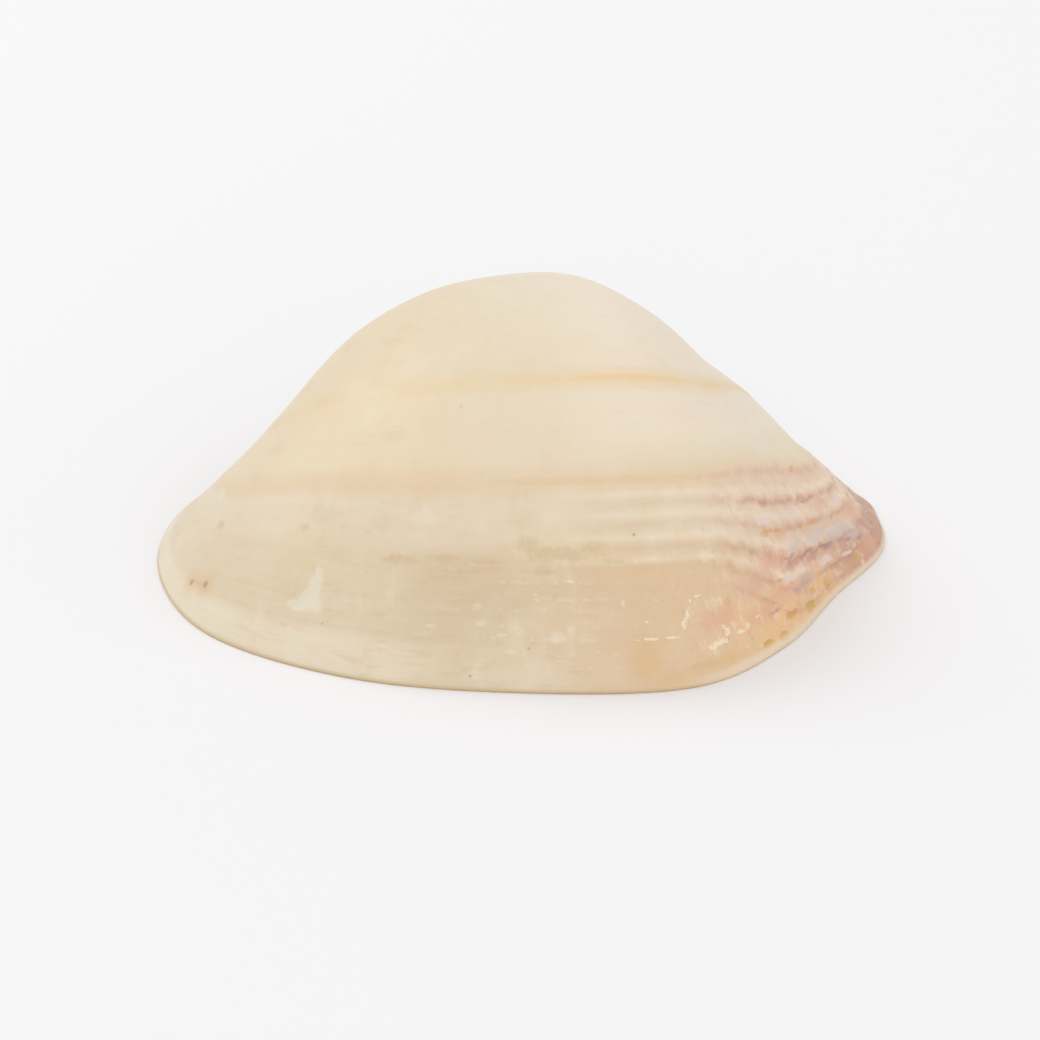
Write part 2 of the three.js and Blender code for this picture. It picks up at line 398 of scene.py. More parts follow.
def makeColumns():
    # places round the margin, closer together on the slope and the hinge, with the way run so far
    fine = valve["marginSteps"]
    places = [points * i / fine for i in range(fine + 1)]
    outline = [marginPoint(place) for place in places]
    miles, loads = [0.0], [0.0]
    for i in range(fine):
        gap = math.dist(outline[i], outline[i + 1])
        load = 1.0 + valve["slopeCrowding"] * slopeShare(places[i])
        load += valve["hingeCrowding"] * hingeShare(*outline[i])
        miles.append(miles[-1] + gap)
        loads.append(loads[-1] + gap * load)
    columns, i = [], 0
    for column in range(valve["columns"]):
        target = loads[-1] * column / valve["columns"]
        while loads[i + 1] < target:
            i += 1
        part = (target - loads[i]) / (loads[i + 1] - loads[i])
        place = places[i] + part * (places[i + 1] - places[i])
        mile = miles[i] + part * (miles[i + 1] - miles[i])
        x, y = marginPoint(place)
        columns.append({"place": place, "mile": mile, "x": x, "y": y})
    return columns


def lipInset(column, height):
    # the worn, rounded lip: how far the outside draws in near the ground
    plain, slope = relief["lipInset"], relief["slopeLipInset"]
    inset = plain + (slope - plain) * slopeShare(column["place"])
    low = 1.0 - min(1.0, max(0.0, height) / relief["lipHeight"])
    return inset * (1.0 - math.sqrt(1.0 - low * low))


def outerVertex(column, part):
    stage = valve["evenRings"] * part
    stage += (growth["beakStage"] - valve["evenRings"]) * part ** valve["ringCrowding"]
    base = growPoint(column["x"], column["y"], stage)
    tone = toneAt(column["place"], stage, column["mile"])
    height = outsideHeight(column, stage, tone, base) - lipInset(column, base.z)
    marked = patchFields(column, stage)
    height -= sum(depth * ramp(0.0, 0.5, marked[name]) for name, depth in depths.items())
    marked["ridge"] = ridgeAt(column["place"], tone)
    return growPoint(column["x"], column["y"], stage, height), stage, 0.0, tone, marked


def patchFields(column, stage):
    # for each kind of patch, 1 at its middle and 0 or less past its edge
    fields = dict.fromkeys(patches, -1.0)
    if stage > patchReach["lastStage"]:
        return fields
    for name, kind in patches.items():
        for place, spotStage, halfLength, halfWidth in kind:
            if abs(place - column["place"]) > patchReach["place"]:
                continue
            if abs(stage - spotStage) > patchReach["stage"]:
                continue
            x, y = patchCentres[place]
            along = math.hypot(column["x"] - x, column["y"] - y) / halfLength
            across = (stage - spotStage) * stageLength / halfWidth
            fields[name] = max(fields[name], 1.0 - math.hypot(along, across))
    return fields


def wallAt(column, stage):
    x, y = column["x"], column["y"]
    age = ramp(0.0, growth["cavityStage"], stage)
    plain = valve["rimWidth"] + (valve["umboWall"] - valve["rimWidth"]) * age
    thinning = ramp(0.0, valve["plateDepth"], stage)
    plate = valve["plateWidth"] + (valve["umboWall"] - valve["plateWidth"]) * thinning
    return plain + (plate - plain) * hingeShare(x, y)


def hingeHeight(x, y, part):
    # the recessed plate, its three cardinal teeth and the sockets between them
    share = hingeShare(x, y)
    if share == 0.0:
        return 0.0
    tooth = 0.0
    for middle, lean, half in valve["teeth"]:
        off = abs(x - middle - lean * part * valve["plateWidth"]) / half
        tooth = max(tooth, (1.0 - ramp(0.35, 1.15, off)) * band(part, 0.22, 0.82, 0.2))
    socket = valve["socketDepth"] * band(x, -7.0, 1.5, 1.2) * band(part, 0.3, 0.8, 0.25)
    rise = ramp(0.0, 0.18, part)
    return share * rise * (valve["plateRecess"] + socket - (valve["toothHeight"] + socket) * tooth)


def rimVertex(column, part):
    x, y = column["x"], column["y"]
    lip = lipInset(column, 0.0)
    outer = growPoint(x, y, 0.0, -lip)
    inner = growPoint(x, y, 0.0, -wallAt(column, 0.0))
    point = outer.lerp(inner, part)
    point.z = hingeHeight(x, y, part)
    edge = (outer - inner).length * (1.0 - part)
    lipRise = relief["innerLip"]
    if edge < lipRise:
        point.z += (lipRise - math.sqrt(lipRise ** 2 - (lipRise - edge) ** 2)) * (1.0 - hingeShare(x, y))
    return point, 0.0, 0.35 + 0.3 * part


def insideHeight(column, stage):
    # marks of the soft body: two muscle scars and the pallial line with its sinus; notches along the lip
    place, x, y = column["place"], column["x"], column["y"]
    point = growPoint(x, y, stage)
    height, scar = 0.0, 0.0
    for scarPlace, scarStage, halfLength, halfWidth in valve["scars"]:
        far = point - spotAt(scarPlace, scarStage)
        off = math.hypot(far.x / halfLength, math.hypot(far.y, far.z) / halfWidth)
        scar = max(scar, 1.0 - ramp(0.86, 1.0, off))
    height += valve["scarDepth"] * scar
    below = max(6.0, -y)
    pallial = valve["pallialInset"] / below + valve["sinusReach"] * band(place, 5.6, 7.0, 1.3)
    line = band(stage, pallial - 0.008, pallial + 0.008, 0.014) * band(place, 4.6, 12.6, 0.4)
    height += valve["pallialDepth"] * line
    scar = max(scar, 0.8 * line)
    notch = 0.5 + 0.5 * math.cos(2 * math.pi * column["mile"] / valve["notchPitch"])
    height += valve["notchDepth"] * notch * (1.0 - ramp(0.3, 1.2, point.z)) * band(place, 3.0, 13.2, 0.8)
    return height, scar


def innerVertex(column, part):
    stage = growth["cavityStage"] * part ** valve["innerCrowding"]
    x, y = column["x"], column["y"]
    share = hingeShare(x, y)
    height, scar = insideHeight(column, stage)
    inset = wallAt(column, stage) - (height + swellAt(column["place"], stage)) * (1.0 - share)
    point = growPoint(x, y, stage, -inset)
    plate = hingeHeight(x, y, 1.0)
    point.z += plate * math.exp(-stage / valve["recessFade"])
    point.z += relief["innerLip"] * (1.0 - share) * math.exp(-stage * 40.0)
    return point, stage, scar * (1.0 - share)


def vertexAt(ring, column):
    # a point of the skin, with its growth stage, how far inside it lies, its tone and its patches
    outer, rim, inner = valve["outerRings"], valve["rimRings"], valve["innerRings"]
    bare = {**dict.fromkeys(patches, -1.0), "ridge": -1.0}
    if ring < outer:
        return outerVertex(column, 1.0 - ring / (outer - 1))
    if ring < outer + rim:
        return *rimVertex(column, (ring - outer + 1) / (rim + 1)), 0.0, bare
    point, stage, scar = innerVertex(column, (ring - outer - rim) / (inner - 1))
    return point, stage, 1.0, stage, {**bare, "scar": scar}


def makeValve():
    # a sphere whose rings become growth stages: its upper pole is the beak, its lower one the hollow's end
    rings = valve["outerRings"] + valve["rimRings"] + valve["innerRings"]
    count = valve["columns"]
    bpy.ops.object.select_all(action="DESELECT")
    bpy.ops.mesh.primitive_uv_sphere_add(segments=count, ring_count=rings + 1, radius=1.0)
    obj = bpy.context.object
    obj.name = "clamValve"
    mesh = obj.data
    columns = makeColumns()
    values = {name: [] for name in ("stage", "inside", "tone", "ridge", "scar", *patches)}
    growthPlaces = []
    poles = []
    for vertex in mesh.vertices:
        latitude = math.asin(max(-1.0, min(1.0, vertex.co.z)))
        longitude = math.atan2(vertex.co.y, vertex.co.x)
        ring = round((0.5 - latitude / math.pi) * (rings + 1)) - 1
        turns = 0.25 - longitude / (2 * math.pi)  # the sphere's first meridian lies a quarter turn round
        column = columns[round(turns * count) % count]
        if ring in (-1, rings):
            poles.append(vertex.index)
        point, stage, inside, tone, fields = vertexAt(max(0, min(rings - 1, ring)), column)
        vertex.co = point * mm
        growthPlaces += [column["x"], column["y"], stage * stageLength]
        here = {"scar": 0.0, "stage": stage, "inside": inside, "tone": tone, **fields}
        for name, value in here.items():
            values[name].append(value)
    closePoles(mesh, poles)
    for name, series in values.items():
        mesh.attributes.new(name, "FLOAT", "POINT").data.foreach_set("value", series)
    mesh.attributes.new("growthPlace", "FLOAT_VECTOR", "POINT").data.foreach_set("vector", growthPlaces)
    return obj


def closePoles(mesh, poles):
    # a pole goes to the middle of the ring next to it
    rings = {index: [] for index in poles}
    for edge in mesh.edges:
        for here, there in permutations(edge.vertices, 2):
            if here in rings:
                rings[here].append(mesh.vertices[there].co)
    for index, ring in rings.items():
        mesh.vertices[index].co = sum(ring, Vector()) / len(ring)


def settle(obj):
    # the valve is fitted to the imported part's box, with its margin on the ground
    corners = [vertex.co for vertex in obj.data.vertices]
    low = Vector(map(min, *corners))
    high = Vector(map(max, *corners))
    room = (cadBox[1] - cadBox[0]) * valve["clearance"]
    stretch = Vector([wide / reach for wide, reach in zip(room, high - low)])
    shift = (cadBox[0] + cadBox[1]) / 2 - stretch * (low + high) / 2
    shift.z = cadBox[0].z - stretch.z * low.z
    bpy.ops.object.select_all(action="DESELECT")
    obj.select_set(True)
    bpy.context.view_layer.objects.active = obj
    obj.location = shift
    obj.scale = stretch
    place = Matrix.LocRotScale(shift, None, stretch)
    bpy.ops.object.transform_apply(location=True, rotation=True, scale=True)
    bpy.ops.object.shade_smooth()
    return place


shell = makeValve()
fitted = settle(shell)
fit = [round(share, 4) for share in fitted.to_scale()]
print("valve grown:", len(shell.data.vertices), "vertices, fitted by", fit)

# Finish. A colour is given as it looks in the studio's light, 0 to 255.
finish = {
    "bands": [  # tone, colour, from the margin to the beak
        (0.000, (222, 203, 174)), (0.030, (225, 207, 178)), (0.062, (223, 203, 173)),
        (0.080, (219, 199, 168)), (0.150, (217, 197, 165)), (0.222, (219, 197, 164)),
        (0.250, (228, 211, 184)), (0.330, (230, 214, 188)), (0.350, (232, 215, 187)),
        (0.390, (233, 217, 190)), (0.560, (233, 217, 190)), (0.620, (230, 214, 185)),
        (0.680, (231, 216, 189)), (0.900, (233, 219, 193)), (1.600, (236, 222, 199)),
        (3.000, (234, 214, 185)),
    ],
    "longLines": [  # tone, half width, colour, share at the anterior and at the posterior end
        (0.370, 0.018, (226, 196, 153), 0.52, 0.70),
        (0.604, 0.017, (236, 204, 150), 0.30, 0.85),
    ],
    "anterior": (229, 212, 183),
    "anteriorRim": (236, 222, 198),
    "upperFront": (231, 212, 178),
    "upperBack": (242, 229, 212),
    "warm": (224, 193, 157),
    "glow": (233, 190, 138),
    # edge: painted contact shade, a warm tan on the lowest edge next to the ground
    "edge": (216, 186, 142),
    "light": (238, 225, 203),
    # dark: random darker grain, also the painted shade line at the foot of each row
    "dark": (208, 180, 136),
    "olive": (203, 180, 130),
    "pit": (208, 160, 108),
    "sand": (231, 210, 172),
    "rose": (231, 200, 176),
    # ridgeLine and ridgeTan: stain with painted shade at the foot of each ledge
    "ridgeLine": (199, 149, 128),
    "ridgeTan": (222, 190, 156),
    # crest: a painted highlight on the ledges' crest, also the light grains of the crust
    "crest": (239, 221, 198),
    "flush": (222, 178, 152),
    "tip": (195, 150, 132),
    "rim": (235, 214, 188),
    "insideCream": (240, 233, 220),
    "insideViolet": (186, 160, 176),
    "insideTan": (236, 220, 194),
    "scar": (222, 208, 188),
    "speck": (156, 122, 84),
    "speckHalo": (224, 192, 150),
    "washes": [  # colour, range along the shell, range of tone, strength
        ("anterior", (-1.0, -8.0), (0.34, 0.20), 0.75),
        ("anteriorRim", (-1.0, -7.0), (0.09, 0.06), 0.80),
        ("upperFront", (1.0, -8.0), (0.36, 0.42), 0.75),
        ("upperBack", (1.0, 11.0), (0.40, 0.48), 0.60),
    ],
    "slopeWashes": [  # colour, range along the shell, range of tone, range of the blotches or none
        ("warm", (2.0, 11.0), (0.235, 0.19, 0.0, 0.8), None),
        ("rose", (12.0, 17.5), (0.10, 0.20, 0.5, 1.0), (0.30, 0.65, 0.30, 1.00)),
        ("flush", (14.5, 17.5), (0.24, 0.17), (0.30, 0.60, 0.35, 0.75)),
        ("glow", (11.0, 14.5), (0.15, 0.08), (0.30, 0.60, 0.30, 0.80)),
    ],
    "rimLines": [(0.020, 0.6), (0.034, 1.0), (0.050, 0.8), (0.066, 0.6), (0.084, 0.5)],  # stage, strength
    "haloWidth": 2.6,  # of a long line, over its own width
    "footShift": -0.006,  # from a row of dashes to the painted shade line in the groove at its foot
    "paleShift": 0.007,  # from an olive line of the rim to the pale one behind it
    "crestHighlightShift": 0.032,  # from a groove of stain and painted shade to the painted crest highlight behind it
    "toneWaver": 0.016,
    "ridgeWaver": 0.012,
    "edgeGrains": [(0.9, 4.0, 0.65, 1.5), (3.2, 4.0, 0.7, 1.6)],  # scale, detail, roughness, strength
    "patchEdge": (-0.4, 0.6),
    "speckCore": (1.5, 0.3),  # outer and inner edge, over the speck's radius
    "speckRing": (6.0, 1.0),
    "groundShadeHeights": (0.34, 0.08),
    "scarShare": 0.7,
    "poreShare": 0.25,
    "insidePolish": 0.2,
    "lightGain": 1.02,  # the studio's light on a level surface
    "roughness": (0.44, 0.62),
}
patchLooks = {  # colour, strength, softness and raggedness of the edge, in the order they are laid down
    "tan": ((220, 188, 140), 0.80, 1.3, 0.5),
    "stain": ((226, 200, 158), 0.45, 1.3, 1.0),
    "salmon": ((222, 173, 147), 0.62, 1.4, 0.8),
    "lilac": ((230, 208, 200), 0.80, 0.6, 1.0),
    "grey": ((211, 195, 190), 0.75, 1.3, 0.5),
    "mauve": ((199, 150, 134), 0.75, 1.0, 1.0),
    "bruise": ((205, 166, 156), 0.75, 1.1, 0.7),
    "violet": ((172, 138, 134), 0.65, 0.8, 1.0),
    "smudge": ((208, 184, 140), 0.50, 1.0, 1.3),
    "orange": ((222, 172, 108), 0.80, 0.5, 1.0),
    "ochre": ((214, 176, 92), 0.85, 0.45, 1.0),
    "pale": ((236, 224, 200), 0.50, 0.8, 1.0),
    "chalk": ((240, 226, 200), 0.80, 0.4, 1.6),
    "chip": ((235, 226, 205), 0.75, 0.7, 0.9),
}
ranges = {  # from, to and, where they aren't 0 and 1, the values there
    "lineFront": (4.0, -6.0),
    "lineEnds": (-3.0, 11.0),
    "lineCloud": (0.3, 0.6, 0.7, 1.0),
    "lineCore": (0.0, 1.0, 1.0, 0.55),
    "lineHalo": (0.0, 1.0, 0.5, 0.85),
    "calm": (-16.0, -10.0, 0.4, 1.0),
    "streakTone": (0.42, 0.16, 0.10, 0.30),
    "streakLight": (0.52, 0.72),
    "streakDark": (0.48, 0.3),
    "rowFront": (-6.0, 6.0, 0.2, 0.65),
    "rowBack": (15.0, 12.5),
    "rowBreak": (0.52, 0.62),
    "footBreak": (0.42, 0.6, 0.0, 0.4),
    "mottleTone": (0.42, 0.3, 0.3, 1.0),
    "mottleLight": (0.52, 0.74, 0.0, 0.45),
    "mottleDark": (0.48, 0.26, 0.0, 0.25),
    "rimFront": (6.0, 10.0, 0.0, 0.75),
    "rimBack": (17.5, 15.0),
    "oliveBreak": (0.40, 0.6),
    "paleBreak": (0.62, 0.46),
    "sandCloud": (0.5, 0.72, 0.0, 0.4),
    "paleGrain": (0.52, 0.75, 0.0, 0.35),
    "earlyStage": (0.8, 1.2),
    "earlySand": (0.5, 0.32, 0.0, 0.35),
    "earlyLight": (0.52, 0.7, 0.0, 0.5),
    "lower": (0.40, 0.37),
    "crestAlong": (1.0, 9.0, 0.0, 0.90),
    "crestBreak": (0.6, 0.4, 0.5, 1.0),
    "tanAlong": (2.0, 9.0),
    "tanBreak": (0.35, 0.6, 0.3, 0.65),
    "lineAlong": (12.5, 16.5),
    "lineBreak": (0.38, 0.56, 0.12, 1.0),
    "tipAlong": (17.2, 19.4),
    "tipTone": (0.22, 0.12),
    "tipBlotch": (0.35, 0.6, 0.5, 0.9),
    "crustAlong": (9.0, 12.5),
    "crustTone": (0.38, 0.08, 0.4, 1.0),
    "crustLight": (0.53, 0.66, 0.0, 0.6),
    "crustDark": (0.45, 0.32, 0.0, 0.5),
    "lipAlong": (9.0, 14.0),
    "lipStage": (0.030, 0.014, 0.0, 0.85),
    "groundShadeShare": (0.0, 1.0, 0.9, 0.2),
    "violetAlong": (8.0, 18.0),
    "violetStage": (1.0, 0.1),
    "violetCloud": (0.35, 0.6, 0.3, 0.9),
    "tanCloud": (0.5, 0.7, 0.0, 0.5),
    "insideEdge": (0.25, 0.55),
    "insideHeight": (0.6, 0.2, 0.15, 1.0),
    "roughFrom": (0.7, 1.3),
}
patterns = {  # scale along the length, the height and the growth, detail, roughness, distortion
    "streak": ((0.45, 0.45, 2.0), 5.0, 0.68),
    "dashes": ((1.1, 1.1, 1.0), 3.0, 0.7),
    "mottle": ((0.5, 0.5, 0.32), 6.0, 0.66),
    "early": ((0.04, 0.04, 0.5), 4.0, 0.6),
    "blotch": ((0.5, 0.5, 0.45), 4.0, 0.6, 0.3),
    "blob": ((0.8, 0.8, 0.3), 3.0, 0.62),
    "crust": ((1.5, 1.5, 0.9), 5.0, 0.75),
    "waver": ((0.14, 0.14, 0.03), 3.0, 0.55),
    "threads": ((0.5, 0.5, 7.0), 4.0, 0.6),
}
lineWidths = {  # from a line's middle to its two sides
    "row": (0.003, 0.005),
    "foot": (0.004, 0.004),
    "olive": (0.006, 0.004),
    "pale": (0.003, 0.003),
    "crest": (0.018, 0.016),
    "ridge": (0.015, 0.021),
}


def tint(look, gain=None):
    # the surface colour that shows as look in the studio's light
    gain = gain or finish["lightGain"]
    return tuple((c / 255 / 12.92 if c < 10 else ((c / 255 + 0.055) / 1.055) ** 2.4) / gain for c in look)


class Nodes:
    # short hands for building one material's node tree
    def __init__(self, name):
        self.material = bpy.data.materials.new(name)
        self.material.use_nodes = True
        self.tree = self.material.node_tree
        self.tree.nodes.clear()

    def put(self, socket, value):
        if isinstance(value, bpy.types.NodeSocket):
            self.tree.links.new(value, socket)
        elif isinstance(value, tuple) and socket.type == "RGBA":
            socket.default_value = (*value, 1.0)
        else:
            socket.default_value = value

    def add(self, kind, inputs=(), **settings):
        node = self.tree.nodes.new(kind)
        for name, value in settings.items():
            setattr(node, name, value)
        for name, value in dict(inputs).items():
            self.put(node.inputs[name], value)
        return node

    def attribute(self, name):
        return self.add("ShaderNodeAttribute", attribute_name=name).outputs["Fac"]

    def maths(self, operation, *values):
        return self.add("ShaderNodeMath", dict(enumerate(values)), operation=operation).outputs[0]

    def times(self, *values):
        product = values[0]
        for value in values[1:]:
            product = self.maths("MULTIPLY", product, value)
        return product

    def remap(self, value, low, high, toLow=0.0, toHigh=1.0):
        inputs = {"Value": value, "From Min": low, "From Max": high, "To Min": toLow, "To Max": toHigh}
        return self.add("ShaderNodeMapRange", inputs, interpolation_type="SMOOTHSTEP").outputs[0]

    def near(self, value, middle, half):
        # 1 where value is middle, 0 further than half away
        return self.remap(self.maths("ABSOLUTE", self.maths("SUBTRACT", value, middle)), half, half * 0.2)

    def mix(self, factor, a, b):
        return self.add("ShaderNodeMix", {0: factor, 6: a, 7: b}, data_type="RGBA").outputs[2]

    def noise(self, vector, scale, detail=3.0, roughness=0.55, distortion=0.0):
        inputs = {"Vector": vector, "Scale": scale, "Detail": detail}
        inputs.update({"Roughness": roughness, "Distortion": distortion})
        return self.add("ShaderNodeTexNoise", inputs).outputs[0]

    def stretch(self, vector, *scale):
        return self.add("ShaderNodeMapping", {"Vector": vector, "Scale": scale}).outputs[0]

    def pattern(self, vector, scales, detail, roughness, distortion=0.0):
        # noise with its own scale along each axis
        return self.noise(self.stretch(vector, *scales), 1.0, detail, roughness, distortion)

    def lay(self, colour, look, *shares):
        # one of the finish's colours over the others, as strong as the product of its shares
        return self.mix(self.times(*shares), colour, tint(finish[look]))

    def ramp(self, value, stops):
        node = self.add("ShaderNodeValToRGB", {"Fac": value})
        elements = node.color_ramp.elements
        while len(elements) < len(stops):
            elements.new(0.5)
        for element, (at, colour) in zip(elements, stops):
            element.position = at
            element.color = (*colour, 1.0)
        return node.outputs[0]

    def peaks(self, value, levels, before, after):
        # a thin line at each level, as bright as its strength
        stops = []
        for at, strength in levels:
            stops += [(at - before, (0.0,) * 3), (at, (strength,) * 3), (at + after, (0.0,) * 3)]
        return self.ramp(value, stops)


def shifted(levels, shift):
    return [(level + shift, strength) for level, strength in levels]


def paintBands(n, at):
    # growth bands on the outside, with the long tan lines
    last = growth["beakStage"]
    stops = [(tone / last, tint(look)) for tone, look in finish["bands"]]
    colour = n.ramp(n.times(at["tone"], 1.0 / last), stops)
    for look, along, byTone, share in finish["washes"]:
        colour = n.lay(colour, look, n.remap(at["x"], *along), n.remap(at["tone"], *byTone), share)
    front = n.remap(at["x"], *ranges["lineFront"])
    for middle, half, look, anteriorShare, posteriorShare in finish["longLines"]:
        strength = n.remap(at["x"], *ranges["lineEnds"], anteriorShare, posteriorShare)
        core = n.times(n.near(at["tone"], middle, half), n.remap(at["cloud"], *ranges["lineCloud"]))
        core = n.times(core, n.remap(front, *ranges["lineCore"]))
        halo = n.near(at["tone"], middle, half * finish["haloWidth"])
        halo = n.times(halo, n.remap(front, *ranges["lineHalo"]))
        colour = n.mix(n.times(n.maths("MAXIMUM", core, halo), strength), colour, tint(look))
    return colour


def paintGrain(n, at, colour):
    # threads and rows of broken light dashes along the growth lines, each with a painted shade line at its
    # foot, then soft mottling
    calm = n.remap(at["x"], *ranges["calm"])
    share = n.times(n.remap(at["tone"], *ranges["streakTone"]), calm)
    streak = n.pattern(at["place"], *patterns["streak"])
    colour = n.lay(colour, "light", n.remap(streak, *ranges["streakLight"]), share)
    colour = n.lay(colour, "dark", n.remap(streak, *ranges["streakDark"]), share)
    broken = n.pattern(at["place"], *patterns["dashes"])
    levels = [(level, 1.0) for level in marks["rows"][1:9]]
    row = n.peaks(at["tone"], levels, *lineWidths["row"])
    rowRegion = n.times(n.remap(at["x"], *ranges["rowFront"]), n.remap(at["x"], *ranges["rowBack"]))
    colour = n.lay(colour, "light", row, n.remap(broken, *ranges["rowBreak"]), rowRegion)
    # a painted shade line in the groove at the foot of each row
    foot = n.peaks(at["tone"], shifted(levels, finish["footShift"]), *lineWidths["foot"])
    colour = n.lay(colour, "dark", foot, n.remap(broken, *ranges["footBreak"]), rowRegion)
    mottle = n.pattern(at["place"], *patterns["mottle"])
    share = n.times(n.remap(at["tone"], *ranges["mottleTone"]), calm)
    colour = n.lay(colour, "light", n.remap(mottle, *ranges["mottleLight"]), share)
    colour = n.lay(colour, "dark", n.remap(mottle, *ranges["mottleDark"]), share)
    rimRegion = n.times(n.remap(at["x"], *ranges["rimFront"]), n.remap(at["x"], *ranges["rimBack"]))
    olive = n.peaks(at["stage"], finish["rimLines"], *lineWidths["olive"])
    colour = n.lay(colour, "olive", olive, n.remap(broken, *ranges["oliveBreak"]), rimRegion)
    pale = n.peaks(at["stage"], shifted(finish["rimLines"], finish["paleShift"]), *lineWidths["pale"])
    colour = n.lay(colour, "light", pale, n.remap(broken, *ranges["paleBreak"]), rimRegion)
    colour = n.lay(colour, "sand", n.remap(at["cloud"], *ranges["sandCloud"]))
    colour = n.lay(colour, "light", n.remap(n.noise(at["object"], 240.0, 3.0, 0.6), *ranges["paleGrain"]))
    early = n.pattern(at["place"], *patterns["early"])
    share = n.remap(at["stage"], *ranges["earlyStage"])
    colour = n.lay(colour, "sand", n.remap(early, *ranges["earlySand"]), share)
    return n.lay(colour, "light", n.remap(early, *ranges["earlyLight"]), share)


def paintSlope(n, at, colour):
    # warm towards the posterior end, rosy on its slope, with ridge lines of stain and painted shade and
    # painted crest highlights
    blotch = n.pattern(at["place"], *patterns["blotch"])
    blob = n.pattern(at["place"], *patterns["blob"])
    crust = n.pattern(at["place"], *patterns["crust"])
    lower = n.remap(at["tone"], *ranges["lower"])
    for look, along, byTone, byBlotch in finish["slopeWashes"]:
        shares = [lower, n.remap(at["x"], *along), n.remap(at["tone"], *byTone)]
        if byBlotch:
            shares.append(n.remap(blotch, *byBlotch))
        colour = n.lay(colour, look, *shares)
    # painted highlights on the crest behind each ridge line, where the ledge faces the light
    levels = [(level, 1.0) for level, _ in marks["ridgeStainsAndShade"][1:5]]
    crestHighlights = n.peaks(at["ridge"], shifted(levels, finish["crestHighlightShift"]), *lineWidths["crest"])
    share = n.times(n.remap(at["x"], *ranges["crestAlong"]), lower, n.remap(blob, *ranges["crestBreak"]))
    colour = n.lay(colour, "crest", crestHighlights, share)
    # the ridge lines: stain, darkened as painted shade at the foot of each ledge
    lines = n.peaks(at["ridge"], marks["ridgeStainsAndShade"], *lineWidths["ridge"])
    share = n.times(n.remap(at["x"], *ranges["tanAlong"]), lower, n.remap(blob, *ranges["tanBreak"]))
    colour = n.lay(colour, "ridgeTan", lines, share)
    share = n.times(n.remap(at["x"], *ranges["lineAlong"]), n.remap(blob, *ranges["lineBreak"]))
    colour = n.lay(colour, "ridgeLine", lines, share)
    share = n.times(n.remap(at["x"], *ranges["tipAlong"]), n.remap(at["tone"], *ranges["tipTone"]))
    colour = n.lay(colour, "tip", share, n.remap(blotch, *ranges["tipBlotch"]))
    share = n.times(n.remap(at["x"], *ranges["crustAlong"]), n.remap(at["tone"], *ranges["crustTone"]), lower)
    colour = n.lay(colour, "crest", n.remap(crust, *ranges["crustLight"]), share)
    return n.lay(colour, "pit", n.remap(crust, *ranges["crustDark"]), share)


def paintPatches(n, at, colour):
    # stains and wear: each attribute is 1 in a patch's middle and 0 at its edge, which the grain makes ragged
    grains = []
    for scale, detail, roughness, gain in finish["edgeGrains"]:
        noise = n.noise(at["place"], scale, detail, roughness)
        grains.append(n.times(n.maths("SUBTRACT", noise, 0.5), gain))
    grain = n.maths("ADD", *grains)
    edgeFrom, edgeTo = finish["patchEdge"]
    for name, (look, strength, soft, ragged) in patchLooks.items():
        field = n.maths("MULTIPLY_ADD", grain, ragged, n.attribute(name))
        share = n.times(n.remap(field, edgeFrom * soft, edgeTo * soft), strength)
        colour = n.mix(share, colour, tint(look))
    coreFrom, coreTo = finish["speckCore"]
    haloFrom, haloTo = finish["speckRing"]
    for place, stage, radius, coreShare, haloShare in specks:
        size = radius * mm
        middle = tuple(fitted @ (spotAt(place, stage) * mm))
        far = n.add("ShaderNodeVectorMath", {0: at["object"], 1: middle}, operation="DISTANCE")
        far = far.outputs["Value"]
        if haloShare:
            colour = n.lay(colour, "speckHalo", n.remap(far, size * haloFrom, size * haloTo, 0.0, haloShare))
        colour = n.lay(colour, "speck", n.remap(far, size * coreFrom, size * coreTo, 0.0, coreShare))
    return colour


def paintRim(n, at, colour):
    # the worn lip at the posterior end, and painted contact shade on the edge next to the ground
    posterior = n.remap(at["x"], *ranges["lipAlong"])
    colour = n.lay(colour, "rim", posterior, n.remap(at["stage"], *ranges["lipStage"]))
    # painted contact shade: the lowest edge turns warm tan, weaker on the posterior lip
    edge = n.remap(at["height"], *[height * mm for height in finish["groundShadeHeights"]])
    return n.lay(colour, "edge", edge, n.remap(posterior, *ranges["groundShadeShare"]))


def paintInside(n, at, colour):
    # pale porcelain, violet at the posterior end and tan along the hinge
    share = n.times(n.remap(at["x"], *ranges["violetAlong"]), n.remap(at["stage"], *ranges["violetStage"]))
    share = n.times(share, n.remap(at["cloud"], *ranges["violetCloud"]))
    inner = n.lay(tint(finish["insideCream"]), "insideViolet", share)
    inner = n.lay(inner, "insideTan", n.remap(at["cloud"], *ranges["tanCloud"]))
    inner = n.lay(inner, "scar", at["scar"], finish["scarShare"])
    return n.mix(n.remap(at["inside"], *ranges["insideEdge"]), colour, inner)


def surfaceHeight(n, at):
    # fine pores and growth threads, fainter on the inside
    threads = n.pattern(at["place"], *patterns["threads"])
    threads = n.times(threads, 1.0 - finish["poreShare"])
    height = n.maths("MULTIPLY_ADD", at["pores"], finish["poreShare"], threads)
    height = n.times(height, n.remap(at["inside"], *ranges["insideHeight"]))
    return n.add("ShaderNodeBump", {"Height": height, "Strength": 0.3, "Distance": 0.00005})


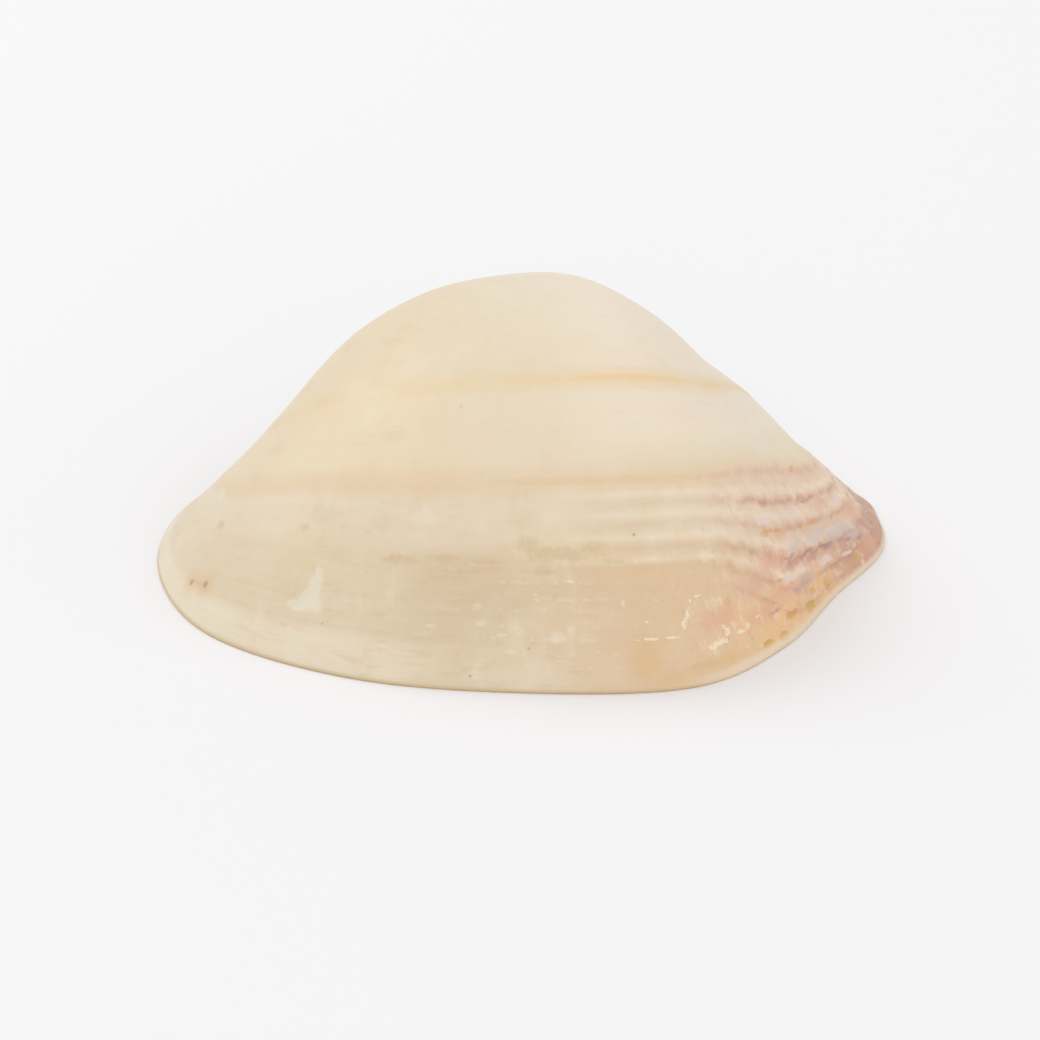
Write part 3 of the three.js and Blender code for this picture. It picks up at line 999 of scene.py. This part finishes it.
def makeShellFinish():
    n = Nodes("clamShellFinish")
    place = n.add("ShaderNodeAttribute", attribute_name="growthPlace").outputs["Vector"]
    inSpace = n.add("ShaderNodeTexCoord").outputs["Object"]
    waver = n.maths("SUBTRACT", n.pattern(place, *patterns["waver"]), 0.5)
    at = {
        "place": place,
        "object": inSpace,
        "x": n.add("ShaderNodeSeparateXYZ", {0: place}).outputs[0],
        "height": n.add("ShaderNodeSeparateXYZ", {0: inSpace}).outputs[2],
        "stage": n.attribute("stage"),
        "inside": n.attribute("inside"),
        "scar": n.attribute("scar"),
        "tone": n.maths("MULTIPLY_ADD", waver, finish["toneWaver"], n.attribute("tone")),
        "ridge": n.maths("MULTIPLY_ADD", waver, finish["ridgeWaver"], n.attribute("ridge")),
        "cloud": n.noise(n.stretch(inSpace, 1.0, 1.0, 1.4), 95.0, 4.0, 0.55),
        "pores": n.noise(inSpace, 3600.0, 2.0, 0.6),
    }
    colour = paintBands(n, at)
    for paint in (paintGrain, paintSlope, paintPatches, paintRim, paintInside):
        colour = paint(n, at, colour)
    rough = n.remap(n.maths("ADD", at["pores"], at["cloud"]), *ranges["roughFrom"], *finish["roughness"])
    rough = n.maths("MULTIPLY_ADD", at["inside"], -finish["insidePolish"], rough)
    shader = n.add("ShaderNodeBsdfPrincipled", {
        "Base Color": colour,
        "Roughness": rough,
        "Normal": surfaceHeight(n, at).outputs[0],
        "Subsurface Weight": 0.25,
        "Subsurface Radius": (1.0, 0.6, 0.35),
        "Subsurface Scale": 0.0012,
        "Coat Weight": 0.1,
        "Coat Roughness": 0.35,
    })
    n.add("ShaderNodeOutputMaterial", {"Surface": shader.outputs[0]})
    return n.material


shell.data.materials.clear()
shell.data.materials.append(makeShellFinish())
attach(shell, "root")
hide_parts("clam_shell")
print("finish applied")

studio = {
    "aim": (0.65, -18.1, 4.07),  # where the camera looks, in the growth's own millimetres
    "azimuth": 5.86,
    "elevation": 25.94,
    "distance": 289.2,
    "lens": 182.2,
    "floorSize": 3.0,
    "floorLook": (247, 247, 249),
    "lamps": [  # name, azimuth, elevation, distance, size, power, colour
        ("keyLamp", -125, 42, 0.6, 0.35, 0.85, (0.93, 0.97, 1.0)),
        ("frontLamp", 15, 28, 0.8, 0.8, 1.1, (1.0, 0.99, 0.97)),
        ("sideLamp", 80, 40, 0.8, 0.7, 0.55, (1.0, 0.99, 0.98)),
    ],
    "skyColour": (1.0, 0.985, 0.975),
    "skyStrength": 0.78,
}


def towards(azimuth, elevation):
    a, e = math.radians(azimuth), math.radians(elevation)
    return Vector((math.sin(a) * math.cos(e), -math.cos(a) * math.cos(e), math.sin(e)))


def makeFloor():
    bpy.ops.object.select_all(action="DESELECT")
    bpy.ops.mesh.primitive_plane_add(size=studio["floorSize"], location=(0, 0, cadBox[0].z))
    floor = bpy.context.object
    floor.name = "paleFloor"
    bpy.ops.object.transform_apply(location=True, rotation=True, scale=True)
    n = Nodes("palePaper")
    fibre = n.noise(n.add("ShaderNodeTexCoord").outputs["Object"], 900.0, 4.0)
    bump = n.add("ShaderNodeBump", {"Height": fibre, "Strength": 0.05, "Distance": 0.00005})
    shader = n.add("ShaderNodeBsdfPrincipled", {
        "Base Color": tint(studio["floorLook"], 1.03),
        "Roughness": 0.75,
        "Specular IOR Level": 0.2,
        "Normal": bump.outputs[0],
    })
    n.add("ShaderNodeOutputMaterial", {"Surface": shader.outputs[0]})
    floor.data.materials.append(n.material)


def makeLights():
    for name, azimuth, elevation, distance, size, power, colour in studio["lamps"]:
        direction = towards(azimuth, elevation)
        bpy.ops.object.light_add(type="AREA", location=direction * distance)
        lamp = bpy.context.object
        lamp.name = name
        lamp.data.shape = "DISK"
        lamp.data.size = size
        lamp.data.energy = power
        lamp.data.color = colour
        lamp.rotation_euler = direction.to_track_quat("Z", "Y").to_euler()
    world = bpy.data.worlds.new("softSky")
    bpy.context.scene.world = world
    world.use_nodes = True
    sky = world.node_tree.nodes["Background"]
    sky.inputs["Color"].default_value = (*studio["skyColour"], 1.0)
    sky.inputs["Strength"].default_value = studio["skyStrength"]


def makeCamera():
    aim = fitted @ (Vector(studio["aim"]) * mm)
    back = towards(studio["azimuth"], studio["elevation"])
    bpy.ops.object.camera_add(location=aim + back * studio["distance"] * mm)
    camera = bpy.context.object
    camera.name = "photoCamera"
    camera.data.lens = studio["lens"]
    camera.data.sensor_width = 36.0
    camera.data.clip_start = 0.01
    camera.rotation_euler = back.to_track_quat("Z", "Y").to_euler()
    bpy.context.scene.camera = camera
    bpy.context.scene.view_settings.view_transform = "Standard"


makeFloor()
makeLights()
makeCamera()
print("studio ready")
